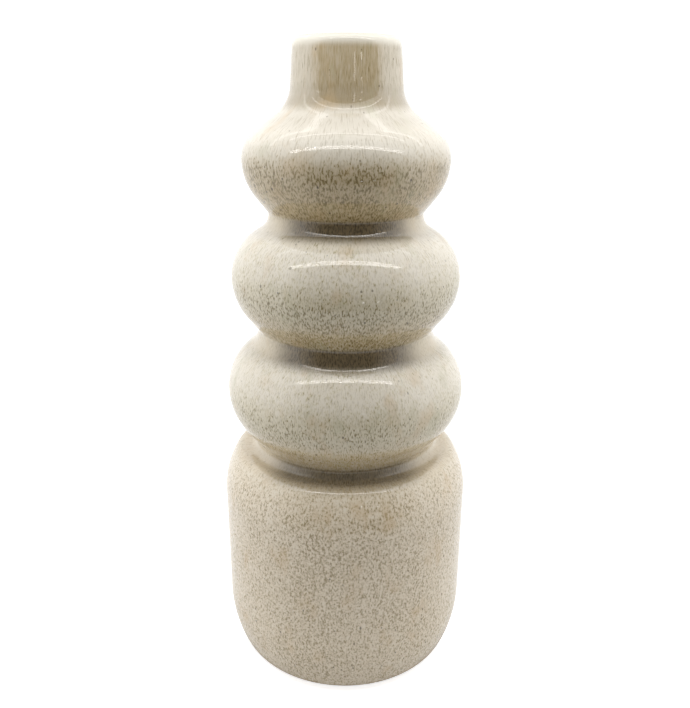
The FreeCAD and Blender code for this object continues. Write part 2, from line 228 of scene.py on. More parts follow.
def turned_mesh(name, outline, reach, centre, segments=SEGMENTS, closed=False):
    """A mesh turned round the upright axis through the centre, from (radius, height) points.

    reach gives how far out the surface stands at a point and an angle. A point on the axis is one vertex.
    """
    vertices, rows = [], []
    for radius, height in outline:
        row = []
        for i in range(segments if radius > 0 else 1):
            angle = 2 * math.pi * i / segments
            out = reach(radius, height, angle) if radius > 0 else 0.0
            row.append(len(vertices))
            vertices.append((centre + Vector((out * math.cos(angle), out * math.sin(angle), height))) * MM)
        rows.append(row)
    if closed:
        rows.append(rows[0])
    faces = []
    for low, high in zip(rows, rows[1:]):
        for i in range(segments):
            j = (i + 1) % segments
            corners = (low[i % len(low)], low[j % len(low)], high[j % len(high)], high[i % len(high)])
            faces.append(tuple(dict.fromkeys(corners)))
    mesh = bpy.data.meshes.new(name)
    mesh.from_pydata(vertices, [], faces)
    mesh.shade_smooth()
    return mesh


# What the outer glaze is painted by

POOL_FADE = 2.2              # how far past a ledge its pooled glaze and painted shade thin out
POOL_TOP = 0.5               # how far over a waist's narrowest line the pool stays deep
DRUM_POOL_AND_SHADOW = 1.3              # how far down the drum's shoulder the pool reaches, with painted shadow of the ring above
LIP_BAND = (5.5, 2.0)        # how far under the rim the lip's thin glaze begins and is all there is
FLOW_RADIUS = 58             # of the cylinder that the patterns lie on, low down
FLOW_NARROWING = 30          # how much smaller its radius is at the lip
FLOW_LOW = 60                # where it starts to narrow


def facing(outline, i):
    """How far the outline faces up at a point: 1 straight up, -1 straight down."""
    before, after = outline[max(0, i - 2)], outline[min(len(outline) - 1, i + 2)]
    return (before[0] - after[0]) / max(math.dist(before, after), 0.001)


def ledge_ends():
    """Each ledge's lowest height and its waist's height."""
    falls = [flank(ring.above, ring.above.ledge, ring, ring.fall)[0] for ring in RINGS[:-1]]
    between = [(w.height - w.ledge * math.sin(fall), w.height) for w, fall in zip(WAISTS[1:], falls)]
    return [(BASE_HEIGHT - DRUM_POOL_AND_SHADOW, WAISTS[0].height)] + between


def ledge_pool_and_shade(height):
    """How deep the glaze has pooled on the ledges, 0 to 1, reaching down the drum's shoulder as painted
    shadow of the lowest ring.
    """
    return max(
        smooth_step(height, low - POOL_FADE, low + POOL_FADE)
        * smooth_step(height, top + POOL_FADE, top + POOL_TOP)
        for low, top in ledge_ends()
    )


def write_flow(mesh, outline):
    """Stores what the glaze is painted by, for each point of a turned mesh.

    flow is where the point lies on a slowly narrowing cylinder, with its length along the outline as
    height, so that drips and specks aren't stretched by the rings. upward is 1 where the glaze faces up
    and -1 where it faces down, front is 1 straight in front and -1 behind, the ledge mask is 1 where the
    glaze lies deep on the ledges and where painted shade lies on them, and thin is 1 over the lip.
    """
    values = {"flow": [], "upward": [], "front": [], "pooled_and_shaded": [], "thin": []}
    lip_low, lip_high = (TOTAL_HEIGHT - under for under in LIP_BAND)
    length = 0.0
    for i, (radius, height) in enumerate(outline):
        if i:
            length += math.dist(outline[i - 1], outline[i])
        mean_radius = FLOW_RADIUS - FLOW_NARROWING * smooth_step(height, FLOW_LOW, TOTAL_HEIGHT)
        upward, pooled_and_shaded = facing(outline, i), ledge_pool_and_shade(height)
        thin = smooth_step(height, lip_low, lip_high)
        for j in range(SEGMENTS):
            angle = 2 * math.pi * j / SEGMENTS
            values["flow"].extend((mean_radius * math.cos(angle), mean_radius * math.sin(angle), length))
            values["upward"].append(upward)
            values["front"].append(-math.sin(angle))
            values["pooled_and_shaded"].append(pooled_and_shaded)
            values["thin"].append(thin)
    for name, numbers in values.items():
        kind, key = ("FLOAT_VECTOR", "vector") if name == "flow" else ("FLOAT", "value")
        mesh.attributes.new(name, kind, "POINT").data.foreach_set(key, numbers)


# Nodes that materials are made of

# A smooth change of a number from least to most, while another goes from begin to end
Ramp = namedtuple("Ramp", "begin end most least", defaults=(1.0, 0.0))

# A soft random pattern: its size in millimetres, how far it is drawn out along the drip, and its roughness
Grain = namedtuple("Grain", "size stretch detail roughness", defaults=(1.0, 2.0, 0.5))

# Scattered specks: how far apart they lie in millimetres, how far they are drawn out, which chances give
# a speck, and, as shares of that distance, how big the biggest is and how its edge fades
Specks = namedtuple("Specks", "apart stretch chance biggest edge")


def srgb(red, green, blue):
    """A colour as screens write it, 0 to 255, in the linear values that shaders use."""
    def linear(value):
        value /= 255
        return value / 12.92 if value <= 0.04045 else ((value + 0.055) / 1.055) ** 2.4
    return (linear(red), linear(green), linear(blue), 1.0)


# A mix node has inputs and outputs of the same names for each kind of value, with the numbers' ones first,
# so its colours are reached by their place
MIX_COLOUR_INPUTS = (6, 7)
MIX_COLOUR_OUTPUT = 2


class Shader:
    """A material and short ways to add nodes to it."""

    def __init__(self, name):
        self.material = bpy.data.materials.new(name)
        self.material.use_nodes = True
        self.tree = self.material.node_tree
        self.surface = self.tree.nodes["Principled BSDF"]

    def add(self, kind, **settings):
        node = self.tree.nodes.new(kind)
        for key, value in settings.items():
            setattr(node, key, value)
        return node

    def plug(self, socket, value):
        """Gives a socket a plain value, or links it to another node's output."""
        if isinstance(value, bpy.types.NodeSocket):
            self.tree.links.new(value, socket)
        else:
            socket.default_value = value

    def attribute(self, name, output="Fac"):
        return self.add("ShaderNodeAttribute", attribute_name=name).outputs[output]

    def place(self):
        """Where a point of the piece lies, in millimetres."""
        return self.scaled(self.add("ShaderNodeTexCoord").outputs["Object"], MM)

    def scaled(self, vector, size, stretch=1.0):
        """A vector measured in steps of a size, longer ones along the drip."""
        node = self.add("ShaderNodeMapping")
        self.plug(node.inputs["Scale"], (1 / size, 1 / size, 1 / (size * stretch)))
        self.plug(node.inputs["Vector"], vector)
        return node.outputs["Vector"]

    def noise(self, vector, grain):
        """Soft random values between 0 and 1."""
        node = self.add("ShaderNodeTexNoise")
        self.plug(node.inputs["Vector"], self.scaled(vector, grain.size, grain.stretch))
        self.plug(node.inputs["Scale"], 1.0)
        self.plug(node.inputs["Detail"], grain.detail)
        self.plug(node.inputs["Roughness"], grain.roughness)
        return node.outputs["Fac"]

    def specks(self, vector, kind):
        """1 inside scattered specks of many sizes, and 0 between them."""
        node = self.add("ShaderNodeTexVoronoi")
        self.plug(node.inputs["Vector"], self.scaled(vector, kind.apart, kind.stretch))
        self.plug(node.inputs["Scale"], 1.0)
        size = self.times(self.ramp(node.outputs["Color"], kind.chance), kind.biggest)
        return self.ramp(self.minus(node.outputs["Distance"], size), kind.edge)

    def ramp(self, value, ramp):
        """A number that changes with a value, which may go up or down."""
        node = self.add("ShaderNodeMapRange", interpolation_type="SMOOTHSTEP")
        self.plug(node.inputs["Value"], value)
        self.plug(node.inputs["From Min"], ramp.begin)
        self.plug(node.inputs["From Max"], ramp.end)
        self.plug(node.inputs["To Min"], ramp.least)
        self.plug(node.inputs["To Max"], ramp.most)
        return node.outputs["Result"]

    def maths(self, operation, first, second):
        node = self.add("ShaderNodeMath", operation=operation)
        self.plug(node.inputs[0], first)
        self.plug(node.inputs[1], second)
        return node.outputs["Value"]

    def plus(self, first, second):
        return self.maths("ADD", first, second)

    def minus(self, first, second):
        return self.maths("SUBTRACT", first, second)

    def times(self, first, second):
        return self.maths("MULTIPLY", first, second)

    def mix(self, amount, first, second):
        """A colour between two, the first where the amount is 0."""
        node = self.add("ShaderNodeMix", data_type="RGBA")
        self.plug(node.inputs["Factor"], amount)
        self.plug(node.inputs[MIX_COLOUR_INPUTS[0]], first)
        self.plug(node.inputs[MIX_COLOUR_INPUTS[1]], second)
        return node.outputs[MIX_COLOUR_OUTPUT]

    def between(self, amount, first, second):
        """A number between two, the first where the amount is 0."""
        node = self.add("ShaderNodeMix", data_type="FLOAT")
        self.plug(node.inputs["Factor"], amount)
        self.plug(node.inputs["A"], first)
        self.plug(node.inputs["B"], second)
        return node.outputs["Result"]

    def glow(self, colour, strength):
        node = self.add("ShaderNodeEmission")
        self.plug(node.inputs["Color"], colour)
        self.plug(node.inputs["Strength"], strength)
        return node.outputs[0]

    def set(self, **inputs):
        """Sets the surface's inputs by their names, with _ for a space."""
        for name, value in inputs.items():
            self.plug(self.surface.inputs[name.replace("_", " ")], value)

    def bump(self, height, depth):
        """Raises and sinks the surface by a pattern, over a depth in millimetres."""
        node = self.add("ShaderNodeBump")
        self.plug(node.inputs["Distance"], depth * MM)
        self.plug(node.inputs["Height"], height)
        self.set(Normal=node.outputs["Normal"])

    def show(self, surface):
        """Makes the material end in a surface other than its first one."""
        self.plug(self.tree.nodes["Material Output"].inputs["Surface"], surface)


# The outer glaze's colours

PALE_GLAZE = srgb(228, 221, 206)
MIDDLE_GLAZE = srgb(208, 197, 174)
CREAM_GLAZE = srgb(222, 207, 182)
GREY_GLAZE = srgb(210, 201, 175)
TAN_GLAZE = srgb(188, 167, 126)
NECK_GLAZE = srgb(184, 167, 134)
# Painted light: the neck's sides, paler than its front
NECK_SIDE_PAINTED_LIGHT = srgb(206, 196, 176)
RIM_GLAZE = srgb(206, 198, 182)
OLIVE_GLAZE = srgb(124, 107, 60)
BROWN_GLAZE = srgb(86, 72, 44)
TAWNY_GLAZE = srgb(130, 112, 78)
OCHRE_GLAZE = srgb(198, 170, 126)
GREEN_GLAZE = srgb(176, 174, 140)
# Painted light: the ledges' paler sides
LIT_LEDGE_PAINT = srgb(236, 221, 192)
LIP_GLAZE = srgb(242, 237, 223)
SPECK = srgb(76, 62, 36)

# How the outer glaze changes with the height over the floor

ABOVE_DRUM = Ramp(100, 135)
TOP_RING = Ramp(214, 236)
STREAKED = Ramp(258, 276)
NECK_ROOT = Ramp(260, 268)
UP_NECK = Ramp(270, 274.5)
NECK_LINE = Ramp(284, 275, most=0.5)
# Painted shade: the middle ring's lower half is darker, and the lowest ring's underside gets less painted
# shade
MIDDLE_RING = Ramp(158, 166)
MIDDLE_RING_SHADE = Ramp(200, 188, most=-0.045)
LOW_RING_LESS_SHADE = Ramp(160, 145, most=0.045)
# How deep the pool and its painted shade lie, less on the drum's shoulder
POOL_AND_SHADE_BY_HEIGHT = Ramp(118, 140, least=0.82)
RIM = Ramp(TOTAL_HEIGHT + FOOT - 1.3, TOTAL_HEIGHT + FOOT - 0.2)

# How it changes with how far it faces up, from -1 to 1

# Undersides get painted shade, tan and darker, and slopes that face up get painted light, paler
UNDERSIDE = Ramp(-0.2, -0.65)
SLOPE = Ramp(-0.15, 0.5)
TOP_RING_SHADE_TAN = Ramp(0.3, -0.35, most=0.65)
TOP_RING_SHADE = Ramp(0.3, -0.1, most=-0.05)

# How it changes from behind, at -1, to straight in front, at 1

# Painted light: the neck is paler at its sides than in front
NECK_FRONT = Ramp(0.74, 0.9)
# Painted shade on the ledges in front, and painted light on their sides
BROWN_SHADE_BY_FRONT = Ramp(0.55, 0.88)
POOL_AND_SHADE_BY_FRONT = Ramp(0.5, 0.88, least=0.48, most=0.96)

# Its patterns, and how they show

STREAKS = Grain(0.5, stretch=10.0, detail=3.0, roughness=0.6)
DASHES = Grain(0.5, stretch=3.6, roughness=0.55)
DOTS = Grain(0.85, stretch=1.7, detail=4.0, roughness=0.8)
HAIRS = Grain(0.4, stretch=14.0)
CLOUDS = Grain(26.0, stretch=1.2, detail=3.0, roughness=0.55)
DRIPS = Grain(5.0, stretch=6.0)
OCHRE_CLOUDS = Grain(11.0, stretch=1.6, detail=3.0)
GREEN_CLOUDS = Grain(8.0, stretch=2.0)
RIPPLE = Grain(2.2, stretch=1.6)
IRON_SPECKS = Specks(2.4, 1.7, Ramp(0.45, 1.0), 0.19, Ramp(0.04, -0.03))

HAIRS_SHOWN = Ramp(0.5, 0.3, most=0.3)
OCHRE_SHOWN = Ramp(0.54, 0.74, most=0.36)
GREEN_SHOWN = Ramp(0.56, 0.74, most=0.28)
POOL_DASHES = Ramp(0.35, 0.62)

# Its tone is a number near 0.5: the pattern's own, with these amounts of other things added

MIDDLE_TONE = 0.5
CALM_STREAKS = 0.3           # how far the streaks are drawn to the middle tone
DRUM_CLOUDS = 0.1
RING_CLOUDS = 0.2
RING_DRIPS = 0.12
DRUM_SLOPE = 0.02            # how much paler a slope that faces up is painted, as painted light
RING_SLOPE = 0.15
TOP_RING_SLOPE = 0.22

# The tones at which each colour of the melted specks shows, and how much of the pale one shows where

PALE_TONE = Ramp(0.48, 0.64)
DRUM_OLIVE_TONE = Ramp(0.54, 0.38, most=0.78)
RING_OLIVE_TONE = Ramp(0.49, 0.34, most=0.84)
DARK_TONE = Ramp(0.34, 0.27, most=0.35)
DRUM_PALENESS = 0.72
# Painted light: slopes that face up show the pale melt in full
SLOPE_PALENESS = 1.0
RING_PALENESS = 0.4
TOP_RING_PALENESS = 0.15
NECK_PALENESS = 0.25

# How strong its other colours and specks are, and its shine and relief

# Painted shade: tan on the undersides
UNDERSIDE_SHADE_TAN = 0.8
ROOT_PALENESS = 0.8
DRUM_SPECKS = 0.8
RING_SPECKS = 0.85
FAINTER_ON_SLOPE = 0.4       # what the specks lose on slopes that face up, as painted light
GLOSS = 0.06                 # roughness
GLAZE_IOR = 1.75
GLAZE_RELIEF = 0.022         # how deep it ripples
PATTERN_RELIEF = 0.15        # how much of the relief the melted specks give, against the ripple


class GlazeShader(Shader):
    """A shader that knows where on the vase each point of the outer glaze is."""

    def __init__(self, name):
        super().__init__(name)
        self.flow = self.attribute("flow", "Vector")
        self.upward = self.attribute("upward")
        self.front = self.attribute("front")
        place = self.add("ShaderNodeSeparateXYZ")
        self.plug(place.inputs[0], self.place())
        self.height = place.outputs["Z"]
        self.above_drum = self.ramp(self.height, ABOVE_DRUM)
        self.top_ring = self.ramp(self.height, TOP_RING)
        self.up_neck = self.ramp(self.height, UP_NECK)
        # Masks for painted shade underneath and painted light on slopes that face up
        self.under = self.ramp(self.upward, UNDERSIDE)
        self.slope = self.ramp(self.upward, SLOPE)


def melt_pattern(glaze, dashes):
    """The melted specks: round on the drum, dashes on the rings, and streaks up the neck."""
    streaks = glaze.between(CALM_STREAKS, glaze.noise(glaze.flow, STREAKS), MIDDLE_TONE)
    specks = glaze.between(glaze.above_drum, glaze.noise(glaze.flow, DOTS), dashes)
    return glaze.between(glaze.ramp(glaze.height, STREAKED), specks, streaks)


def glaze_tone(glaze, pattern):
    """How light the glaze is: the pattern, with clouds and drips added, painted light on slopes that face
    up, and painted shade under the top ring and low on the middle ring, with less of it under the lowest
    ring.
    """
    clouds = glaze.minus(glaze.noise(glaze.flow, CLOUDS), MIDDLE_TONE)
    drips = glaze.minus(glaze.noise(glaze.flow, DRIPS), MIDDLE_TONE)
    slope = glaze.between(glaze.top_ring, RING_SLOPE, TOP_RING_SLOPE)
    slope = glaze.between(glaze.above_drum, DRUM_SLOPE, slope)
    middle_ring = glaze.ramp(glaze.height, MIDDLE_RING)
    additions = (
        glaze.times(clouds, glaze.between(glaze.above_drum, DRUM_CLOUDS, RING_CLOUDS)),
        glaze.times(glaze.times(drips, glaze.above_drum), RING_DRIPS),
        # Painted light on slopes that face up, and painted shade under the top ring and low on the middle
        # ring, less under the lowest ring
        glaze.times(glaze.slope, slope),
        glaze.times(glaze.top_ring, glaze.ramp(glaze.upward, TOP_RING_SHADE)),
        glaze.times(middle_ring, glaze.ramp(glaze.height, MIDDLE_RING_SHADE)),
        glaze.times(glaze.under, glaze.ramp(glaze.height, LOW_RING_LESS_SHADE)),
    )
    tone = pattern
    for addition in additions:
        tone = glaze.plus(tone, addition)
    return tone


def ground_colour(glaze):
    """The colour between the specks: cream on the drum, grey higher up and tan on the neck, with painted
    shade in tan underneath and painted light on the neck's sides.
    """
    colour = glaze.mix(glaze.above_drum, CREAM_GLAZE, GREY_GLAZE)
    colour = glaze.mix(glaze.top_ring, colour, MIDDLE_GLAZE)
    # Painted shade: tan under the top ring
    tanned = glaze.times(glaze.top_ring, glaze.ramp(glaze.upward, TOP_RING_SHADE_TAN))
    colour = glaze.mix(tanned, colour, TAN_GLAZE)
    # Painted light: the neck's sides are paler than its front
    neck = glaze.mix(glaze.ramp(glaze.front, NECK_FRONT), NECK_SIDE_PAINTED_LIGHT, NECK_GLAZE)
    colour = glaze.mix(glaze.up_neck, colour, neck)
    # Painted shade: tan on the undersides
    return glaze.mix(glaze.times(glaze.under, UNDERSIDE_SHADE_TAN), colour, TAN_GLAZE)


def melted_specks(glaze, colour, tone):
    """Pale and olive melt over the ground colour, by tone, with more of the pale on slopes that face up as
    painted light.
    """
    paleness = glaze.between(glaze.top_ring, RING_PALENESS, TOP_RING_PALENESS)
    paleness = glaze.between(glaze.slope, paleness, SLOPE_PALENESS)
    paleness = glaze.between(glaze.above_drum, DRUM_PALENESS, paleness)
    paleness = glaze.between(glaze.up_neck, paleness, NECK_PALENESS)
    colour = glaze.mix(glaze.times(glaze.ramp(tone, PALE_TONE), paleness), colour, PALE_GLAZE)
    drum_olive = glaze.ramp(tone, DRUM_OLIVE_TONE)
    ring_olive = glaze.ramp(tone, RING_OLIVE_TONE)
    colour = glaze.mix(glaze.between(glaze.above_drum, drum_olive, ring_olive), colour, OLIVE_GLAZE)
    return glaze.mix(glaze.ramp(tone, DARK_TONE), colour, SPECK)


def neck_root(glaze, colour):
    """The neck's plain pale root, and the tawny line over it."""
    root = glaze.minus(glaze.ramp(glaze.height, NECK_ROOT), glaze.up_neck)
    colour = glaze.mix(glaze.times(root, ROOT_PALENESS), colour, RIM_GLAZE)
    line = glaze.times(glaze.up_neck, glaze.ramp(glaze.height, NECK_LINE))
    return glaze.mix(line, colour, TAWNY_GLAZE)


def stains(glaze, colour):
    """Ochre clouds all over, and green clouds and hair-fine olive lines above the drum."""
    ochre = glaze.ramp(glaze.noise(glaze.flow, OCHRE_CLOUDS), OCHRE_SHOWN)
    green = glaze.ramp(glaze.noise(glaze.flow, GREEN_CLOUDS), GREEN_SHOWN)
    hairs = glaze.ramp(glaze.noise(glaze.flow, HAIRS), HAIRS_SHOWN)
    colour = glaze.mix(ochre, colour, OCHRE_GLAZE)
    colour = glaze.mix(glaze.times(green, glaze.above_drum), colour, GREEN_GLAZE)
    return glaze.mix(glaze.times(hairs, glaze.above_drum), colour, OLIVE_GLAZE)


def iron_specks(glaze, colour):
    """Sharp dark specks, fainter on slopes that face up as painted light."""
    strength = glaze.between(glaze.above_drum, DRUM_SPECKS, RING_SPECKS)
    strength = glaze.minus(strength, glaze.times(glaze.slope, FAINTER_ON_SLOPE))
    specks = glaze.specks(glaze.flow, IRON_SPECKS)
    return glaze.mix(glaze.times(specks, strength), colour, SPECK)


def pooled_glaze_and_painted_shade(glaze, colour, dashes):
    """Glaze that lies deep on the ledges, with painted shade: brown strongest in front, and painted light
    in cream on their sides.
    """
    brown = glaze.mix(glaze.ramp(dashes, POOL_DASHES), BROWN_GLAZE, TAWNY_GLAZE)
    pool_and_shade_colour = glaze.mix(glaze.ramp(glaze.front, BROWN_SHADE_BY_FRONT), LIT_LEDGE_PAINT, brown)
    pool_and_shade_depth = glaze.times(glaze.ramp(glaze.front, POOL_AND_SHADE_BY_FRONT), glaze.ramp(glaze.height, POOL_AND_SHADE_BY_HEIGHT))
    return glaze.mix(glaze.times(glaze.attribute("pooled_and_shaded"), pool_and_shade_depth), colour, pool_and_shade_colour)


def speckled_glaze():
    """Glossy grey-cream glaze full of olive specks: drawn out into streaks high up, round low down."""
    glaze = GlazeShader("speckled_glaze")
    dashes = glaze.noise(glaze.flow, DASHES)
    pattern = melt_pattern(glaze, dashes)
    colour = melted_specks(glaze, ground_colour(glaze), glaze_tone(glaze, pattern))
    colour = neck_root(glaze, colour)
    colour = stains(glaze, colour)
    colour = iron_specks(glaze, colour)
    colour = pooled_glaze_and_painted_shade(glaze, colour, dashes)
    colour = glaze.mix(glaze.attribute("thin"), colour, LIP_GLAZE)
    colour = glaze.mix(glaze.ramp(glaze.height, RIM), colour, RIM_GLAZE)
    glaze.set(Base_Color=colour, Roughness=GLOSS, IOR=GLAZE_IOR)
    ripple = glaze.noise(glaze.flow, RIPPLE)
    glaze.bump(glaze.plus(ripple, glaze.times(pattern, PATTERN_RELIEF)), GLAZE_RELIEF)
    return glaze.material


# The other materials

CLAY_DARK = srgb(168, 140, 106)
CLAY_PALE = srgb(190, 164, 128)
GRIT_BROWN = srgb(120, 92, 64)
GRAIN_BROWN = srgb(84, 58, 40)
FELT_DARK = srgb(44, 38, 34)
FELT_PALE = srgb(92, 82, 74)
FELT_TUFT = srgb(66, 58, 52)

LINER_CLOUDS = Grain(12.0, detail=3.0)
LINER_PALE = Ramp(0.4, 0.65)
LINER_RIPPLE = Grain(3.0)
LINER_RELIEF = 0.06
LINER_SPECKS = Specks(4.0, 1.0, Ramp(0.5, 1.0), 0.14, Ramp(0.04, -0.02))
LINER_SPECKS_SHOWN = 0.7

CLAY_CLOUDS = Grain(9.0, detail=4.0, roughness=0.6)
CLAY_CLOUDS_PALE = Ramp(0.35, 0.65)
GRIT = Grain(0.5, detail=3.0, roughness=0.7)
GRIT_SHOWN = Ramp(0.42, 0.3)
GRIT_RELIEF = 0.12
CLAY_GRAINS = Specks(2.2, 1.0, Ramp(0.6, 1.0), 0.2, Ramp(0.05, -0.03))
CLAY_GRAINS_SHOWN = 0.8

FIBRES = Grain(0.22, detail=4.0, roughness=0.75)
FIBRES_PALE = Ramp(0.3, 0.7)
FIBRE_RELIEF = 0.2
TUFTS = Grain(1.6)
TUFTS_SHOWN = Ramp(0.4, 0.7, most=0.4)


def inside_glaze():
    """The liner: the same glaze, calmer, with few specks."""
    shader = Shader("inside_glaze")
    place = shader.place()
    clouds = shader.ramp(shader.noise(place, LINER_CLOUDS), LINER_PALE)
    colour = shader.mix(clouds, MIDDLE_GLAZE, PALE_GLAZE)
    specks = shader.times(shader.specks(place, LINER_SPECKS), LINER_SPECKS_SHOWN)
    colour = shader.mix(specks, colour, SPECK)
    shader.set(Base_Color=colour, Roughness=0.1, IOR=1.5)
    shader.bump(shader.noise(place, LINER_RIPPLE), LINER_RELIEF)
    return shader.material


def bare_stoneware():
    """Fired clay with no glaze on it: buff, gritty and matt, with darker grains."""
    shader = Shader("bare_stoneware")
    place = shader.place()
    grit = shader.noise(place, GRIT)
    clouds = shader.ramp(shader.noise(place, CLAY_CLOUDS), CLAY_CLOUDS_PALE)
    colour = shader.mix(clouds, CLAY_DARK, CLAY_PALE)
    colour = shader.mix(shader.ramp(grit, GRIT_SHOWN), colour, GRIT_BROWN)
    grains = shader.times(shader.specks(place, CLAY_GRAINS), CLAY_GRAINS_SHOWN)
    colour = shader.mix(grains, colour, GRAIN_BROWN)
    shader.set(Base_Color=colour, Roughness=0.9, IOR=1.45)
    shader.bump(grit, GRIT_RELIEF)
    return shader.material


def felt():
    """Dark pressed felt: short tangled fibres and a soft sheen."""
    shader = Shader("felt")
    place = shader.place()
    fibres = shader.noise(place, FIBRES)
    colour = shader.mix(shader.ramp(fibres, FIBRES_PALE), FELT_DARK, FELT_PALE)
    tufts = shader.ramp(shader.noise(place, TUFTS), TUFTS_SHOWN)
    colour = shader.mix(tufts, colour, FELT_TUFT)
    shader.set(Base_Color=colour, Roughness=1.0, Sheen_Weight=0.4, Sheen_Roughness=0.5)
    shader.bump(fibres, FIBRE_RELIEF)
    return shader.material


# The vase's pieces

VASE_CENTRE = Vector((0.0, 0.0, FOOT))
PADS = 4
PAD_SEGMENTS = 64
PAD_RIM = 0.35               # the round along a pad's edges
PAD_RIM_TURNS = (math.pi / 6, math.pi / 3, math.pi / 2)
FUZZ = 0.06                  # how uneven the felt's edge is
FUZZ_SCALE = 9


def put(name, data):
    """A new object in the scene."""
    thing = bpy.data.objects.new(name, data)
    bpy.context.scene.collection.objects.link(thing)
    return thing


def add_piece(mesh, material, node):
    """Puts a mesh in the scene in place of a CAD node."""
    mesh.materials.append(material)
    piece = put(mesh.name, mesh)
    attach(piece, "root")
    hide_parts(node)


def outside_coat():
    """The outer glaze: its visible face, and its back on the clay."""
    face = up_to_lip(0.0, -GLAZE, GLAZE_LINE)
    back = up_to_lip(GLAZE, 0.0, GLAZE_LINE)
    outline = face + back[::-1]
    mesh = turned_mesh("glazed_outside", outline, thrown_reach, VASE_CENTRE, closed=True)
    write_flow(mesh, outline)
    add_piece(mesh, speckled_glaze(), "outer_glaze")


def inside_coat():
    """The inner glaze: its face to the hollow, and its back on the clay."""
    back_depth, face_depth = GLAZE + WALL, 2 * GLAZE + WALL
    back = [(0.0, FLOOR)] + side(back_depth, FLOOR) + bore_points(back_depth)
    face = [(0.0, FLOOR + GLAZE)] + side(face_depth, FLOOR + GLAZE) + bore_points(face_depth)
    mesh = turned_mesh("glazed_inside", face + back[::-1], thrown_reach, VASE_CENTRE)
    add_piece(mesh, inside_glaze(), "inner_glaze")


def clay_shell():
    """The clay wall between the two coats, with the foot ring round its recess."""
    inner_foot = CORNER_IN - FOOT_WIDTH
    underside = [(0.0, FOOT_RECESS), (inner_foot - FOOT_RECESS, FOOT_RECESS), (inner_foot, 0.0)]
    outer = up_to_lip(GLAZE, 0.0)
    depth = GLAZE + WALL
    inner = [(0.0, FLOOR)] + side(depth, FLOOR) + bore_points(depth)[:-1]
    mesh = turned_mesh("fired_clay", underside + outer + inner[::-1], thrown_reach, VASE_CENTRE)
    add_piece(mesh, bare_stoneware(), "stoneware_body")


def felt_pad(number, material):
    """A felt disc with a softly rounded rim, where its CAD node is."""
    node = "foot_pad_%d" % number
    low, high = (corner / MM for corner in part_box(node))
    full_radius, half = (high.x - low.x) / 2, (high.z - low.z) / 2

    def fuzzy_reach(radius, height, angle):
        tuft = noise.noise(Vector((math.cos(angle), math.sin(angle), number)) * FUZZ_SCALE)
        return min(full_radius, radius + FUZZ * tuft)

    flat, rim_height = full_radius - PAD_RIM, PAD_RIM - half
    outline = [(0.0, -half), (flat, -half)]
    for turn in PAD_RIM_TURNS:
        outline.append((flat + PAD_RIM * math.sin(turn), rim_height - PAD_RIM * math.cos(turn)))
    outline += [(radius, -height) for radius, height in outline[::-1]]
    mesh = turned_mesh("felt_pad_%d" % number, outline, fuzzy_reach, (low + high) / 2, PAD_SEGMENTS)
    add_piece(mesh, material, node)


# The light tent

WHITE = (1.0, 1.0, 1.0, 1.0)
WARM_WHITE = (1.0, 0.97, 0.93, 1.0)
ROOM = 0.12                  # how bright the dark room round the camera is

CEILING = 330                # how high over the floor the strips are
CEILING_GAP = 2              # how far over them the tent's glowing top is
CEILING_HALF = 240
CEILING_STRENGTH = 1.35

FRONT_STRIP = -95            # where the strips hang: less than 0 is before the axis
FRONT_STRIP_HALF = 12
FRONT_STRIP_ROWS = 5
FRONT_STRIP_STRENGTH = 11
MIDDLE_STRIP = -5
MIDDLE_STRIP_HALF = 4
MIDDLE_STRIP_STRENGTH = 2.5
STRIP_HALF = 150
LAMP_PITCH = 7.8
LAMP_HALF = 1.4
ROW_GAP = 4.5
CORNER_SIGNS = ((-1, -1), (1, -1), (1, 1), (-1, 1))

NECK_STRIP_HALF = 70         # a thin strip that draws the neck's pale line
NECK_STRIP = (-32.5, -30.5)
NECK_STRIP_HEIGHT = 315
NECK_STRIP_STRENGTH = 4

OPENING_RADIUS = 420         # the tent's open front, round the camera
OPENING_LEFT = -57           # degrees from straight ahead
OPENING_RIGHT = 66
OPENING_DARK = 28            # degrees to each side that show only the dark room
OPENING_EDGE = 0.9           # how bright the opening is at its sides
OPENING_STEPS = 48

KEY_HEIGHT = 74              # degrees over the horizon
KEY_SPREAD = 14              # degrees
KEY_STRENGTH = 1.1
SURROUND_STRENGTH = 1.2
FLOOR_HALF = 3000
FLOOR_GREY = (0.8, 0.8, 0.8, 1.0)
FLOOR_GLOW = 0.8             # what the camera sees of the floor beside its own grey

# Upright rectangles of even light that face the vase, with y less than 0 before the axis
Upright = namedtuple("Upright", "name across heights y colour strength")

NECK_CARD_Y = -40
ON_CARD_Y = NECK_CARD_Y + 0.5
GLINT_Y = -200

# A dark card that the neck mirrors, and the gaps in it where light comes through
NECK_CARDS = (
    Upright("neck_card", (-41, 55), (276, 303), NECK_CARD_Y, WARM_WHITE, ROOM),
    Upright("neck_slit", (6.8, 7.8), (285.5, 297.5), ON_CARD_Y, WARM_WHITE, 2.2),
    Upright("short_neck_slit", (14.0, 15.6), (294, 297.5), ON_CARD_Y, WARM_WHITE, 3.5),
    Upright("neck_spot", (14.0, 15.6), (286, 286.7), ON_CARD_Y, WARM_WHITE, 3.5),
)
# Narrow lights before the vase that leave glints on a ring, as daylight through gaps does
GLINTS = (
    Upright("glint_0", (47, 53), (165, 169), GLINT_Y, WHITE, 8),
    Upright("glint_1", (100, 106), (162, 166), GLINT_Y, WHITE, 8),
)


